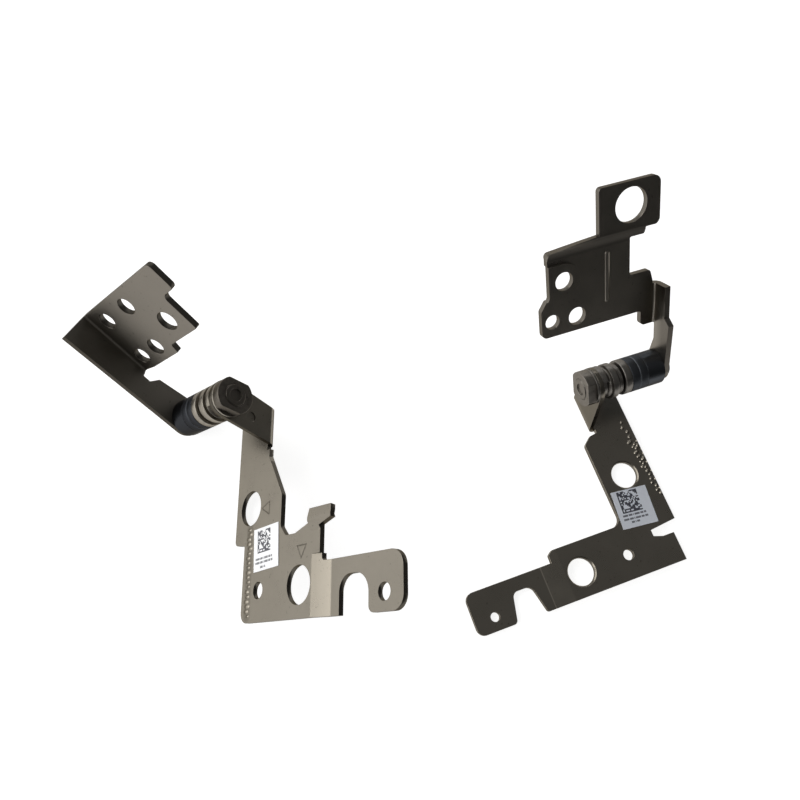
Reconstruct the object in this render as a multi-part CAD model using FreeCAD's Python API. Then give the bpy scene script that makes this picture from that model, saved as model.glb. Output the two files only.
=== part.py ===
"""A pair of laptop lid hinges, lying on a table as they come to rest.

Each hinge is drawn in its own frame first: the shaft's axis is X, pointing at the shaft's
free end, with X = 0 on the ear's outer face. The base bracket runs along +Y from the shaft,
with its upper face below the axis. The lid bracket is drawn closed, level above the base
bracket, and then opened about the axis. The right-hand hinge is drawn like the left-hand one
and mirrored across the YZ plane before it is laid down.
"""
import FreeCAD, Part
import math
import os
from FreeCAD import Vector

# Sheet metal of the lid brackets and of the base brackets
sheet = 1.0
base_sheet = 0.8
bend_inner = 0.4
plate_drop = 8.09
relief_width = 0.5
cut_reach = 3.0

# Shaft
neck_radius = 1.8
neck_flat = 1.35
shoulder_radius = 3.0
shoulder_length = 3.14
tenon_radius = 1.9
tenon_flat = 1.5
lid_rivet_radius = 2.1
lid_rivet_height = 0.5
end_rivet_radius = 1.65
end_rivet_height = 0.12
end_dimple_radius = 1.0
end_dimple_depth = 0.25
fit_gap = 0.02
bore_gap = 0.04

# Stack on the shaft's neck
ring_radius = 3.0
end_plate_thick = 1.6
end_plate_flat = 2.5
right_end_plate_turn = -19.0
left_end_plate_turn = 2.0
thrust_washer_thick = 0.4
stop_cam_thick = 0.95
pressure_ring_thick = 1.05
disc_spring_radius = 2.6
disc_spring_thick = 0.3
disc_spring_rise = 0.33
outer_spring_rise = 0.53
spacer_ring_thick = 1.3
friction_disc_thick = 1.5

# Lid stop: the nib stands on the ear's inner side and runs in the cam's slot
lid_travel = 145.0
stop_margin = 1.5
nib_radius_in = 2.36
nib_half_angle = 9.0
nib_direction = -70.0
slot_floor_radius = 2.3
ear_end_radius = 3.05
arm_end_radius = 2.85

# Right-hand base bracket
right_arm_side = -8.89
right_arm_top = -0.6
right_arm_foot = 20.57
right_foot_side = -6.14
right_foot_bottom = 32.5
right_post_left = 11.0
right_post_right = 13.2
right_tongue_top = right_foot_bottom - 7.52
right_tongue_end = 29.04
right_fold_start = 0.0
right_fold_end = 5.84
right_notch_left = 16.6
right_notch_right = 22.53
right_notch_top = right_foot_bottom - 5.25
right_joggle_start = 11.3
right_joggle_end = 14.8
tongue_step = 0.8
right_main_hole_radius = 2.75
right_upper_hole = (-4.86, 15.13)
right_lower_hole = (8.43, right_foot_bottom - 4.59)
right_pin_hole = (-1.78, right_foot_bottom - 4.6)
right_pin_hole_radius = 1.25
right_tongue_hole = (25.53, right_foot_bottom - 2.42)
right_tongue_hole_radius = 1.15
hook_left = 11.1
hook_right = 16.3
hook_tip = 17.65
hook_crease = 19.3
hook_ramp_end = 20.7
hook_lift = 0.8
hook_tip_lift = 0.5
pip_place = (2.05, -4.1)
pip_radius = 0.8
pip_depth = 0.2

# Left-hand base bracket
left_arm_side = -7.63
left_arm_top = -0.9
left_foot_side = -6.37
left_foot_bottom = 31.19
left_foot_top = left_foot_bottom - 8.83
left_side_notch_top = left_foot_bottom - 6.85
left_side_notch_bottom = left_foot_bottom - 4.79
left_side_notch_end = -2.7
left_tongue_top = left_foot_bottom - 6.95
left_tongue_end = 31.25
left_fold_start = -0.9
left_fold_end = 5.7
left_notch_left = 19.15
left_notch_right = 24.6
left_notch_narrowing = 1.1
left_notch_top = left_foot_bottom - 4.7
left_joggle_start = 14.3
left_joggle_end = 17.65
left_main_hole_radius = 2.25
left_main_hole_bevel = 0.25
left_upper_hole = (-2.66, 14.67)
left_lower_hole = (11.58, left_foot_bottom - 3.99)
left_pin_hole = (2.81, left_foot_bottom - 3.9)
left_pin_hole_radius = 0.9
left_tongue_hole = (27.68, left_foot_bottom - 2.16)
left_tongue_hole_radius = 0.75

# Right-hand lid bracket, drawn closed
right_lid_open = 120.0
right_lid_face = 1.35
right_lid_low = 9.86
right_lid_step = 11.37
right_lid_top = 22.41
right_lid_side = 5.7
right_lid_tab_side = 8.72
right_lid_tab_low = 17.75
right_arm_fold_low = 10.1
right_arm_edge = 3.62
right_arm_neck_start = 7.5
right_arm_neck_edge = 1.72
right_arm_waist = 0.35
right_lid_screw_radius = 1.4
right_lid_screws = [(-9.08, 19.71), (-9.9, 12.4)]
right_lid_side_hole_radius = 1.45
right_lid_side_holes = [(-5.29, 12.43), (-2.59, 19.69)]
right_lid_big_hole_radius = 1.65
right_lid_big_hole = (1.95, 14.6)

# Left-hand lid bracket, drawn closed
left_lid_open = 130.2
left_lid_face = 0.72
left_lid_low = 10.77
left_lid_top = 25.0
left_lid_wide_side = 8.16
left_lid_narrow_side = 6.81
left_lid_side_step = 16.5
left_lid_right_side = -7.66
left_lid_right_foot = 17.61
left_lid_lug_low = 8.1
left_lid_lug_side = -9.8
left_arm_fold_high = 15.15
left_arm_narrow_edge = 2.05
left_arm_wide_edge = 3.25
left_arm_step = 9.15
left_arm_neck_start = 5.2
left_arm_waist = 0.65
left_arm_end_radius = 2.5
left_tab_left = -2.79
left_tab_right = -13.6
left_tab_low = 24.65
left_tab_top = 32.37
left_tab_step = 0.9
left_tab_ramp_start = 24.1
left_tab_ramp_end = 24.75
left_tab_hole = (-8.43, left_tab_top - 3.74)
left_tab_hole_radius = 2.8
left_pad_radius = 2.85
left_pad_lift = 0.4
left_lid_screw_radius = 1.5
left_lid_pad_hole = (4.19, 19.84)
left_lid_low_hole = (1.86, 13.19)
left_lid_small_hole = (6.26, 13.31)
left_lid_small_hole_radius = 1.22

# Printed labels
label_size = 6.5
label_thick = 0.08
right_label_centre = (-0.01, 21.77)
right_label_turn = -4.0
left_label_centre = (-1.7, 20.37)
left_label_turn = -5.4

# Where each hinge lies: its shaft's origin on the table and its turn about the vertical
right_spot = (-25.254, 0.744)
right_turn = 180.52
left_spot = (33.735, 6.661)
left_turn = 199.79

# Values that follow
base_top = -plate_drop
base_back = base_top - base_sheet
lid_bend_outer = bend_inner + sheet
base_bend_outer = bend_inner + base_sheet
ear_inner = -base_sheet
cam_start = ear_inner - fit_gap
outer_spring_start = cam_start - stop_cam_thick
ring_start = outer_spring_start - disc_spring_thick - outer_spring_rise
spring_start = ring_start - pressure_ring_thick
spring_pair_length = 2 * (disc_spring_thick + disc_spring_rise)
spacer_start = spring_start - spring_pair_length
friction_start = spacer_start - spacer_ring_thick
shoulder_start = friction_start - 2 * friction_disc_thick
shoulder_end = shoulder_start - shoulder_length
arm_plane = shoulder_end
end_plate_start = fit_gap + thrust_washer_thick
end_plate_end = end_plate_start + end_plate_thick
lid_flat_start = arm_plane + bend_inner

# Plan outlines: x, y and corner radius of each corner
right_base_outline = [
    (-base_bend_outer, right_arm_top, 0),
    (-base_bend_outer, right_fold_end + relief_width, 0),
    (-0.45, right_fold_end + relief_width, 0),
    (-0.45, 7.54, 0.6),
    (3.47, 14.23, 1.0),
    (3.47, 19.06, 0.8),
    (4.87, 20.56, 0.8),
    (7.2, 20.56, 0.5),
    (right_post_left, hook_crease, 0),
    (right_post_right, hook_crease, 0),
    (right_post_right, right_tongue_top, 0.4),
    (right_tongue_end, right_tongue_top, 2.2),
    (right_tongue_end, right_foot_bottom, 2.0),
    (right_notch_right, right_foot_bottom, 0.9),
    (right_notch_right, right_notch_top, 2.6),
    (right_notch_left, right_notch_top, 2.3),
    (right_notch_left, right_foot_bottom, 0),
    (right_foot_side, right_foot_bottom, 1.6),
    (right_foot_side, right_arm_foot + 0.3, 0),
    (right_arm_side, right_arm_foot, 0.8),
    (right_arm_side, right_arm_top, 0),
]
hook_outline = [
    (hook_left + 0.2, hook_tip - sheet, 0),
    (hook_right - 0.4, hook_tip - sheet, 0),
    (hook_right, hook_tip + 0.9, 0),
    (hook_right, hook_crease + 0.2, 0),
    (right_post_right, hook_crease + 0.9, 0),
    (right_post_right, hook_ramp_end + 2 * sheet, 0),
    (right_post_left, hook_ramp_end + 2 * sheet, 0),
    (right_post_left, hook_crease, 0),
]
left_base_outline = [
    (-base_bend_outer, left_arm_top, 0),
    (-base_bend_outer, left_fold_end + relief_width, 0),
    (0.2, 6.4, 0.4),
    (1.79, 7.7, 0.8),
    (1.79, left_foot_top, 1.6),
    (14.9, left_foot_top, 0.6),
    (15.7, left_foot_top + 0.6, 0.5),
    (15.7, left_tongue_top, 0),
    (left_tongue_end, left_tongue_top, 1.4),
    (left_tongue_end, left_foot_bottom, 1.4),
    (left_notch_right, left_foot_bottom, 0.7),
    (left_notch_right - left_notch_narrowing, left_notch_top, 1.1),
    (left_notch_left + left_notch_narrowing, left_notch_top, 1.3),
    (left_notch_left, left_foot_bottom, 0.5),
    (left_foot_side, left_foot_bottom, 0),
    (left_foot_side, left_side_notch_bottom, 0),
    (left_side_notch_end - 1.6, left_side_notch_bottom, 0),
    (left_side_notch_end, left_side_notch_bottom - 0.5, 0),
    (left_side_notch_end, left_side_notch_top + 0.5, 0),
    (left_arm_side, left_side_notch_top, 0),
    (left_arm_side, left_arm_top, 0),
]
right_lid_outline = [
    (lid_flat_start, right_lid_top, 0),
    (lid_flat_start, right_arm_fold_low, 0),
    (-9.84, right_lid_low, 0.8),
    (-2.24, right_lid_low, 0),
    (-1.94, right_lid_step, 0.4),
    (right_lid_side, right_lid_step, 0.3),
    (right_lid_side, right_lid_tab_low, 0.9),
    (right_lid_tab_side, right_lid_tab_low, 0.7),
    (right_lid_tab_side, right_lid_top, 0.8),
]
left_lid_outline = [
    (left_lid_narrow_side, left_lid_top - 0.65, 1.1),
    (left_lid_narrow_side, left_lid_side_step + 1.0, 0.8),
    (left_lid_wide_side, left_lid_side_step - 1.0, 0.8),
    (left_lid_wide_side, left_lid_low, 0.9),
    (left_lid_lug_side, left_lid_low, 0.4),
    (left_lid_lug_side, left_lid_lug_low, 0.8),
    (lid_flat_start, left_lid_lug_low, 0),
    (lid_flat_start, left_arm_fold_high + relief_width, 0),
    (lid_flat_start + 0.5, left_lid_right_foot, 0.6),
    (left_lid_right_side, left_lid_right_foot, 0.4),
    (left_lid_right_side, left_tab_ramp_start - 0.2, 0.3),
    (left_tab_right + 3.4, left_tab_ramp_start - 0.2, 0.4),
    (left_tab_right + 2.6, left_tab_low, 0.4),
    (left_tab_right, left_tab_low, 0.9),
    (left_tab_right, left_tab_top, 1.3),
    (left_tab_left, left_tab_top, 0.6),
    (left_tab_left, left_lid_top, 0),
]


def toward(start, end):
    """Unit vector from one plane point to another, and their distance."""
    du = end[0] - start[0]
    dv = end[1] - start[1]
    length = math.hypot(du, dv)
    return du / length, dv / length, length


def rounded_face(corners, place):
    """Flat face through corners (u, v, radius), each rounded by a tangent arc."""
    stops = []
    for index, (u, v, radius) in enumerate(corners):
        back_u, back_v, _ = toward((u, v), corners[index - 1])
        next_u, next_v, _ = toward((u, v), corners[(index + 1) % len(corners)])
        half = math.acos(max(-1.0, min(1.0, back_u * next_u + back_v * next_v))) / 2
        if radius <= 0 or half > math.radians(89.9):
            stops.append(((u, v), None, (u, v)))
            continue
        trim = radius / math.tan(half)
        mid_u, mid_v, _ = toward((0, 0), (back_u + next_u, back_v + next_v))
        inset = radius / math.sin(half) - radius
        first = (u + back_u * trim, v + back_v * trim)
        middle = (u + mid_u * inset, v + mid_v * inset)
        last = (u + next_u * trim, v + next_v * trim)
        stops.append((first, middle, last))
    edges = []
    for index, (first, middle, last) in enumerate(stops):
        if middle:
            edges.append(Part.Arc(place(*first), place(*middle), place(*last)).toShape())
        following = stops[(index + 1) % len(stops)][0]
        if toward(last, following)[2] > 1e-6:
            edges.append(Part.LineSegment(place(*last), place(*following)).toShape())
    return Part.Face(Part.Wire(edges))


def plan_slab(corners, low, high):
    """Solid with a rounded outline in X and Y, between two heights."""
    face = rounded_face(corners, lambda x, y: Vector(x, y, low))
    return face.extrude(Vector(0, 0, high - low))


def offset_path(path, distance):
    """The path moved to its right by a distance, with mitred corners."""
    moved = []
    for index, point in enumerate(path):
        before = toward(path[index - 1], point) if index > 0 else None
        after = toward(point, path[index + 1]) if index + 1 < len(path) else None
        first = before or after
        second = after or before
        normal_u = first[1] + second[1]
        normal_v = -first[0] - second[0]
        scale = distance / (1 + first[0] * second[0] + first[1] * second[1])
        moved.append((point[0] + normal_u * scale, point[1] + normal_v * scale))
    return moved


def bent_section(path, thick):
    """Outline corners of a bent sheet: one face follows the path, the sheet is to its right."""
    far = offset_path(path, thick)
    near_corners = []
    far_corners = []
    for index, point in enumerate(path):
        near_radius = 0
        far_radius = 0
        if 0 < index < len(path) - 1:
            before = toward(path[index - 1], point)
            after = toward(point, path[index + 1])
            turns_left = before[0] * after[1] - before[1] * after[0] > 0
            near_radius = bend_inner if turns_left else bend_inner + thick
            far_radius = bend_inner + thick if turns_left else bend_inner
        near_corners.append((point[0], point[1], near_radius))
        far_corners.append((far[index][0], far[index][1], far_radius))
    return near_corners + far_corners[::-1]


def strip_along_y(path, thick, start, end):
    """Bent sheet with its section in X and Z, running along Y."""
    face = rounded_face(bent_section(path, thick), lambda x, z: Vector(x, start, z))
    return face.extrude(Vector(0, end - start, 0))


def strip_along_x(path, thick, start, end):
    """Bent sheet with its section in Y and Z, running along X."""
    face = rounded_face(bent_section(path, thick), lambda y, z: Vector(start, y, z))
    return face.extrude(Vector(end - start, 0, 0))


def hole(place, radius):
    """Cutter for a round hole square to a level plate."""
    reach = plate_drop + 2 * cut_reach
    return Part.makeCylinder(radius, 2 * reach, Vector(place[0], place[1], -reach))


def tangent_point(point, radius, side):
    """Where a line from a point touches the circle about the shaft, on one side of it."""
    distance = math.hypot(point[0], point[1])
    bearing = math.atan2(point[1], point[0])
    turn = math.acos(radius / distance)
    angle = bearing + side * turn
    return radius * math.cos(angle), radius * math.sin(angle)


def round_end_prism(first, last, radius, between, start, end):
    """Prism along X whose section has a round end about the shaft.

    The section runs from first, by a tangent, round the end, by a tangent to last, and back
    over the corners in between.
    """
    touch_first = tangent_point(first, radius, -1)
    touch_last = tangent_point(last, radius, 1)
    open_y = -(first[0] + last[0])
    open_z = -(first[1] + last[1])
    far_y, far_z, _ = toward((0, 0), (open_y, open_z))
    far = (radius * far_y, radius * far_z)

    def place(point):
        return Vector(start, point[0], point[1])

    corners = [last] + between + [first]
    edges = [Part.LineSegment(place(first), place(touch_first)).toShape()]
    edges.append(Part.Arc(place(touch_first), place(far), place(touch_last)).toShape())
    edges.append(Part.LineSegment(place(touch_last), place(last)).toShape())
    for here, there in zip(corners, corners[1:]):
        edges.append(Part.LineSegment(place(here), place(there)).toShape())
    return Part.Face(Part.Wire(edges)).extrude(Vector(end - start, 0, 0))


def arm_section(first, last, radius, between):
    """Prism over the lid arm's sheet, with a round end about the shaft."""
    low = arm_plane - 2 * sheet
    return round_end_prism(first, last, radius, between, low, lid_flat_start + sheet)


def disc(radius, start, thick):
    """Round disc on the shaft's axis, from start towards the lid's arm."""
    return Part.makeCylinder(radius, thick, Vector(start - thick, 0, 0), Vector(1, 0, 0))


def two_flat_bar(radius, flat, start, end):
    """Round bar along the axis with two flats, level in Z."""
    bar = Part.makeCylinder(radius, end - start, Vector(start, 0, 0), Vector(1, 0, 0))
    slab = Part.makeBox(end - start, 2 * radius + 1, 2 * flat, Vector(start, -radius - 0.5, -flat))
    return bar.common(slab)


def neck_bore(start, end):
    """Cutter for the two-flat hole of a piece on the shaft's neck."""
    return two_flat_bar(neck_radius + fit_gap, neck_flat + fit_gap, start, end)


def on_neck(piece):
    """A stack piece with its two-flat hole cut."""
    box = piece.BoundBox
    return piece.cut(neck_bore(box.XMin - sheet, box.XMax + sheet))


def ear(fold_start, fold_end):
    """Upright ear with its bend: tangents from the fold's ends to a round end."""
    path = [
        (-base_bend_outer - sheet, base_top),
        (ear_inner, base_top),
        (ear_inner, ear_end_radius + sheet),
    ]
    blank = strip_along_y(path, base_sheet, fold_start - cut_reach, fold_end + cut_reach)
    first = (fold_start, base_back)
    last = (fold_end, base_back)
    outline = round_end_prism(first, last, ear_end_radius, [], -base_bend_outer - sheet, sheet)
    standing = blank.common(outline)
    bore = Part.makeCylinder(
        neck_radius + bore_gap, 2 * cut_reach, Vector(-cut_reach, 0, 0), Vector(1, 0, 0)
    )
    return standing.cut(bore)


def stop_nib():
    """Block half sheared out of the ear, which the stop cam's slot runs round."""
    depth = stop_cam_thick - fit_gap
    ring = Part.makeCylinder(ring_radius, depth, Vector(ear_inner - depth, 0, 0), Vector(1, 0, 0))
    core = Part.makeCylinder(
        nib_radius_in, depth, Vector(ear_inner - depth, 0, 0), Vector(1, 0, 0)
    )
    wedge = angle_wedge(
        nib_direction - nib_half_angle, nib_direction + nib_half_angle, ear_inner - depth, depth
    )
    return ring.cut(core).common(wedge)


def angle_wedge(low, high, start, depth):
    """Wedge about the axis between two angles from +Y, for sectors of stack pieces."""
    reach = 2 * ring_radius
    parts = max(1, math.ceil((high - low) / 60))
    corners = [Vector(start, 0, 0)]
    for index in range(parts + 1):
        angle = math.radians(low + (high - low) * index / parts)
        corners.append(Vector(start, reach * math.cos(angle), reach * math.sin(angle)))
    corners.append(corners[0])
    return Part.Face(Part.makePolygon(corners)).extrude(Vector(depth, 0, 0))


def right_base_bracket():
    """Right-hand base bracket: arm, ear, foot, hooked post and stepped, notched tongue."""
    path = [
        (right_arm_side - sheet, base_top),
        (right_joggle_start, base_top),
        (right_joggle_end, base_top - tongue_step),
        (right_tongue_end + sheet, base_top - tongue_step),
    ]
    low = base_back - tongue_step - sheet
    low_y = right_tongue_top - sheet
    formed = strip_along_y(path, base_sheet, low_y, right_foot_bottom + sheet)
    level = plan_slab(
        [
            (right_arm_side - sheet, right_arm_top - sheet, 0),
            (right_tongue_end, right_arm_top - sheet, 0),
            (right_tongue_end, low_y, 0),
            (right_arm_side - sheet, low_y, 0),
        ],
        base_back,
        base_top,
    )
    plate = formed.fuse(level).common(plan_slab(right_base_outline, low, base_top + sheet))
    additions = [ear(right_fold_start, right_fold_end), stop_nib(), hook()]
    bracket = plate.fuse(additions).removeSplitter()
    cutters = [
        hole(right_upper_hole, right_main_hole_radius),
        hole(right_lower_hole, right_main_hole_radius),
        hole(right_pin_hole, right_pin_hole_radius),
        hole(right_tongue_hole, right_tongue_hole_radius),
        pip_dimple(),
    ]
    return bracket.cut(cutters).removeSplitter()


def hook():
    """Hooked tab on the post: stepped up towards the lid, with its tip leaning back."""
    path = [
        (hook_tip, base_top + hook_tip_lift),
        (hook_crease, base_top + hook_lift),
        (hook_ramp_end, base_top),
        (hook_ramp_end + 2 * sheet, base_top),
    ]
    blank = strip_along_x(path, base_sheet, hook_left - sheet, hook_right + sheet)
    return blank.common(plan_slab(hook_outline, base_back - sheet, base_top + 2 * sheet))


def pip_dimple():
    """Round pressed dimple beside the shaft on the ear's outer face."""
    base = Vector(-pip_depth, pip_place[0], pip_place[1])
    return Part.makeCylinder(pip_radius, 2 * pip_depth, base, Vector(1, 0, 0))


def left_base_bracket():
    """Left-hand base bracket: arm, ear, long foot and stepped, notched tongue."""
    path = [
        (left_arm_side - sheet, base_top),
        (left_joggle_start, base_top),
        (left_joggle_end, base_top - tongue_step),
        (left_tongue_end + sheet, base_top - tongue_step),
    ]
    low = base_back - tongue_step - sheet
    formed = strip_along_y(path, base_sheet, left_arm_top - sheet, left_foot_bottom + sheet)
    plate = formed.common(plan_slab(left_base_outline, low, base_top + sheet))
    bracket = plate.fuse([ear(left_fold_start, left_fold_end), stop_nib()]).removeSplitter()
    cutters = [
        bevelled_hole(left_upper_hole, left_main_hole_radius),
        bevelled_hole(left_lower_hole, left_main_hole_radius),
        hole(left_pin_hole, left_pin_hole_radius),
        hole(left_tongue_hole, left_tongue_hole_radius),
    ]
    return bracket.cut(cutters).removeSplitter()


def bevelled_hole(place, radius):
    """Cutter for a hole in the base plate whose upper rim is bevelled."""
    rim = radius + left_main_hole_bevel
    bevel = Part.makeCone(
        radius,
        rim + left_main_hole_bevel,
        2 * left_main_hole_bevel,
        Vector(place[0], place[1], base_top - left_main_hole_bevel),
    )
    return hole(place, radius).fuse(bevel)


def lid_arm(face, fold_low, fold_high, outline):
    """Lid bracket's upright arm with its bend, cut to an outline with a round end."""
    path = [
        (arm_plane + lid_bend_outer + sheet, face),
        (arm_plane, face),
        (arm_plane, -arm_end_radius - sheet),
    ]
    blank = strip_along_y(path, sheet, fold_low, fold_high + sheet)
    disc_part = Part.makeBox(
        sheet,
        2 * arm_end_radius + fold_low,
        4 * arm_end_radius,
        Vector(arm_plane - sheet, -2 * arm_end_radius, -2 * arm_end_radius),
    )
    leg = blank.common(outline)
    tip = disc_part.common(outline)
    hole_for_tenon = two_flat_bar(
        tenon_radius + fit_gap, tenon_flat + fit_gap, arm_plane - 2 * sheet, arm_plane + sheet
    )
    return leg.fuse(tip).removeSplitter().cut(hole_for_tenon)


def right_lid_bracket():
    """Right-hand lid bracket: stepped plate with a tab, and a straight arm."""
    plate = plan_slab(right_lid_outline, right_lid_face, right_lid_face + sheet)
    first = (right_lid_top, -right_arm_edge)
    last = (right_arm_neck_start, right_arm_neck_edge)
    between = [
        (right_arm_neck_start + 1.0, right_arm_waist),
        (right_arm_fold_low - 0.3, right_arm_waist),
        (right_arm_fold_low, right_lid_face),
        (right_arm_fold_low, right_lid_face + 2 * sheet),
        (right_lid_top, right_lid_face + 2 * sheet),
    ]
    section = arm_section(first, last, arm_end_radius, between)
    arm = lid_arm(right_lid_face, right_arm_fold_low, right_lid_top, section)
    bracket = plate.fuse(arm).removeSplitter()
    cutters = [hole(place, right_lid_screw_radius) for place in right_lid_screws]
    cutters += [hole(place, right_lid_side_hole_radius) for place in right_lid_side_holes]
    cutters.append(hole(right_lid_big_hole, right_lid_big_hole_radius))
    return bracket.cut(cutters).removeSplitter()


def left_lid_bracket():
    """Left-hand lid bracket: stepped plate, joggled tab, raised pad and a stepped arm."""
    path = [
        (left_tab_top + sheet, left_lid_face + left_tab_step),
        (left_tab_ramp_end, left_lid_face + left_tab_step),
        (left_tab_ramp_start, left_lid_face),
        (left_lid_lug_low - sheet, left_lid_face),
    ]
    formed = strip_along_x(path, sheet, left_tab_right - sheet, left_lid_wide_side + sheet)
    high = left_lid_face + left_tab_step + 2 * sheet
    prism = plan_slab(left_lid_outline, left_lid_face - 2 * sheet, high)
    plate = formed.common(prism)
    first = (left_arm_step - 0.5, -left_arm_wide_edge)
    last = (left_arm_neck_start, left_arm_waist)
    between = [
        (left_lid_lug_low, left_arm_waist),
        (left_lid_lug_low, left_lid_face + 2 * sheet),
        (left_arm_fold_high, left_lid_face + 2 * sheet),
        (left_arm_fold_high, -left_arm_narrow_edge),
        (left_arm_step + 0.5, -left_arm_narrow_edge),
    ]
    section = arm_section(first, last, left_arm_end_radius, between)
    arm = lid_arm(left_lid_face, left_lid_lug_low, left_arm_fold_high, section)
    pad = pad_slab(left_lid_face - left_pad_lift, left_lid_face).common(prism)
    pad_back = pad_slab(left_lid_face + sheet - left_pad_lift, left_lid_face + sheet)
    bracket = plate.fuse([arm, pad]).removeSplitter()
    cutters = [
        pad_back,
        hole(left_lid_pad_hole, left_lid_screw_radius),
        hole(left_lid_low_hole, left_lid_screw_radius),
        hole(left_lid_small_hole, left_lid_small_hole_radius),
        hole(left_tab_hole, left_tab_hole_radius),
    ]
    return bracket.cut(cutters).removeSplitter()


def pad_slab(low, high):
    """Screw pad of the left-hand lid plate: round about its hole and open to the side."""
    x, y = left_lid_pad_hole
    corners = [
        (left_lid_wide_side + sheet, y - left_pad_radius, 0),
        (left_lid_wide_side + sheet, y + left_pad_radius, 0),
        (x - left_pad_radius, y + left_pad_radius, left_pad_radius - 0.02),
        (x - left_pad_radius, y - left_pad_radius, left_pad_radius - 0.02),
    ]
    return plan_slab(corners, low, high)


def hinge_shaft():
    """Turned shaft: shoulder, two-flat neck, and a riveted end on either side."""
    shoulder = disc(shoulder_radius, shoulder_start, shoulder_length)
    neck = two_flat_bar(neck_radius, neck_flat, shoulder_start, end_plate_end)
    end_face = end_plate_end + end_rivet_height
    end_rivet = disc(end_rivet_radius, end_face, end_rivet_height)
    tenon = two_flat_bar(tenon_radius, tenon_flat, shoulder_end - sheet, shoulder_end)
    lid_rivet = disc(lid_rivet_radius, shoulder_end - sheet, lid_rivet_height)
    shaft = shoulder.fuse([neck, end_rivet, tenon, lid_rivet]).removeSplitter()
    return shaft.cut(disc(end_dimple_radius, end_face, end_dimple_depth))


def end_plate(turn):
    """Thick plate with two flats, turned from the neck's, riveted to the shaft's free end."""
    plate = two_flat_bar(ring_radius, end_plate_flat, end_plate_start, end_plate_end)
    plate.rotate(Vector(0, 0, 0), Vector(1, 0, 0), turn)
    return on_neck(plate)


def thrust_washer():
    """Thin washer between the end plate and the ear."""
    return on_neck(disc(ring_radius, end_plate_start, thrust_washer_thick))


def stop_cam():
    """Disc with a long slot in its rim, whose ends meet the ear's nib."""
    body = disc(ring_radius, cam_start, stop_cam_thick)
    floor = disc(slot_floor_radius, cam_start, stop_cam_thick)
    play = nib_half_angle + stop_margin
    low = nib_direction - lid_travel - play
    high = nib_direction + play
    slot = angle_wedge(low, high, cam_start - 2 * stop_cam_thick, 3 * stop_cam_thick).cut(floor)
    return on_neck(body.cut(slot))


def pressure_ring():
    """Thick plain ring between the outer disc spring and the pair."""
    return on_neck(disc(ring_radius, ring_start, pressure_ring_thick))


def disc_spring(start, direction, rise):
    """Conical spring washer, its hollow side away from start."""
    inner = neck_radius + bore_gap
    thick = direction * disc_spring_thick
    lift = direction * rise
    section = [
        Vector(start, inner, 0),
        Vector(start + lift, disc_spring_radius, 0),
        Vector(start + lift + thick, disc_spring_radius, 0),
        Vector(start + thick, inner, 0),
        Vector(start, inner, 0),
    ]
    return Part.Face(Part.makePolygon(section)).revolve(Vector(0, 0, 0), Vector(1, 0, 0), 360)


def spacer_ring():
    """Thick plain ring between the disc springs and the friction discs."""
    return on_neck(disc(ring_radius, spacer_start, spacer_ring_thick))


def friction_disc(index):
    """Thin disc, one of two against the shaft's shoulder."""
    start = friction_start - index * friction_disc_thick
    return on_neck(disc(ring_radius, start, friction_disc_thick))


def bracket_label(centre, turn):
    """Square printed label on the base bracket's upper face."""
    label = Part.makeBox(
        label_size, label_size, label_thick, Vector(-label_size / 2, -label_size / 2, 0)
    )
    label.rotate(Vector(0, 0, 0), Vector(0, 0, 1), turn)
    label.translate(Vector(centre[0], centre[1], base_top))
    return label


def hinge_pieces(base, lid, open_angle, plate_turn, label):
    """Every piece of one hinge in its own frame, the lid's side opened by an angle."""
    fixed = {"base_bracket": base, "bracket_label": label}
    turning = {
        "lid_bracket": lid,
        "hinge_shaft": hinge_shaft(),
        "end_plate": end_plate(plate_turn),
        "thrust_washer": thrust_washer(),
        "stop_cam": stop_cam(),
        "pressure_ring": pressure_ring(),
        "disc_spring_outer": disc_spring(outer_spring_start, -1, outer_spring_rise),
        "disc_spring_middle": disc_spring(spring_start, -1, disc_spring_rise),
        "disc_spring_inner": disc_spring(spacer_start, 1, disc_spring_rise),
        "spacer_ring": spacer_ring(),
        "friction_disc_outer": friction_disc(0),
        "friction_disc_inner": friction_disc(1),
    }
    for piece in turning.values():
        piece.rotate(Vector(0, 0, 0), Vector(1, 0, 0), open_angle)
    return {**fixed, **turning}


def resting_placement(contacts, spot, turn):
    """Placement that stands three contact points on the table and turns the hinge there."""
    first, second, third = contacts
    up = (second - first).cross(third - first)
    if up.z < 0:
        up = -up
    tilt = FreeCAD.Rotation(up, Vector(0, 0, 1))
    rotation = FreeCAD.Rotation(Vector(0, 0, 1), turn).multiply(tilt)
    height = -rotation.multVec(first).z
    return FreeCAD.Placement(Vector(spot[0], spot[1], height), rotation)


def right_contacts():
    """The right-hand hinge leans on its arm's long edge and the lid arm's round end."""
    return [
        Vector(-right_arm_side, right_arm_top, base_back),
        Vector(-right_arm_side, right_arm_foot, base_back),
        Vector(-arm_plane + sheet, 0, -arm_end_radius),
    ]


def left_contacts():
    """The left-hand hinge lies on the back of its base bracket and its stepped tongue."""
    return [
        Vector(left_arm_side, left_arm_top, base_back),
        Vector(-base_bend_outer, left_arm_top, base_back),
        Vector(left_notch_right, left_tongue_top, base_back - tongue_step),
    ]


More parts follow.
